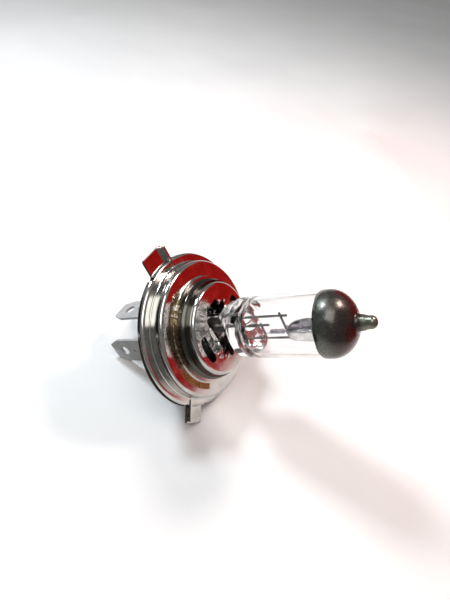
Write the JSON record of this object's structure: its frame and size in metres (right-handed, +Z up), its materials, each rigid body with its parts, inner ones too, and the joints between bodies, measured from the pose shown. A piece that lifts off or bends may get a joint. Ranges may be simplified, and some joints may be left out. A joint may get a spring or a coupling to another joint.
{
  "type": "twin-filament headlight bulb",
  "caption": "Halogen headlight bulb with main and dipped filaments, a dark-tipped glass envelope, a lugged steel flange and flat contact blades.",
  "frame": {"origin": "centre of the lugs' seating plane, on the bulb's axis", "axes": "+Z up, with the bulb lying on its brim and the ends of its two side contacts; +X along the floor under the bulb's axis, towards the glass tip"},
  "size_m": [0.0673, 0.043, 0.0492],
  "materials": {
    "plated_steel": "bright plated sheet steel with fine forming marks",
    "contact_metal": "matte tin-plated brass blades with stamped edges",
    "insulator": "moulded mineral-filled plastic with a slight grain",
    "quartz": "clear polished quartz glass",
    "dark_coating": "gunmetal-grey glossy heatproof coating, slightly uneven",
    "molybdenum": "drawn molybdenum wire, lightly darkened",
    "tungsten": "coiled tungsten wire with a cool sheen",
    "shield_metal": "thin pressed molybdenum sheet with fine creases"
  },
  "bodies": {
    "root": {"mounting_flange": "plated_steel", "rear_shell": "plated_steel", "insulator": "insulator", "low_beam_terminal": "contact_metal", "high_beam_terminal": "contact_metal", "ground_terminal": "contact_metal", "focus_sleeve": "plated_steel", "glass_holder": "plated_steel", "pinch_clip_left": "plated_steel", "pinch_clip_right": "plated_steel", "glass_envelope": "quartz", "dome_coating": "dark_coating", "low_beam_foil": "molybdenum", "high_beam_foil": "molybdenum", "common_foil": "molybdenum", "low_beam_support_wire": "molybdenum", "high_beam_support_wire": "molybdenum", "common_support_wire": "molybdenum", "low_beam_lead_wire": "molybdenum", "high_beam_lead_wire": "molybdenum", "common_lead_wire": "molybdenum", "low_beam_crossbar": "molybdenum", "high_beam_crossbar": "molybdenum", "high_beam_filament": "tungsten", "low_beam_filament": "tungsten", "beam_shield": "shield_metal", "shield_bracket": "shield_metal"}
  },
  "joints": []
}
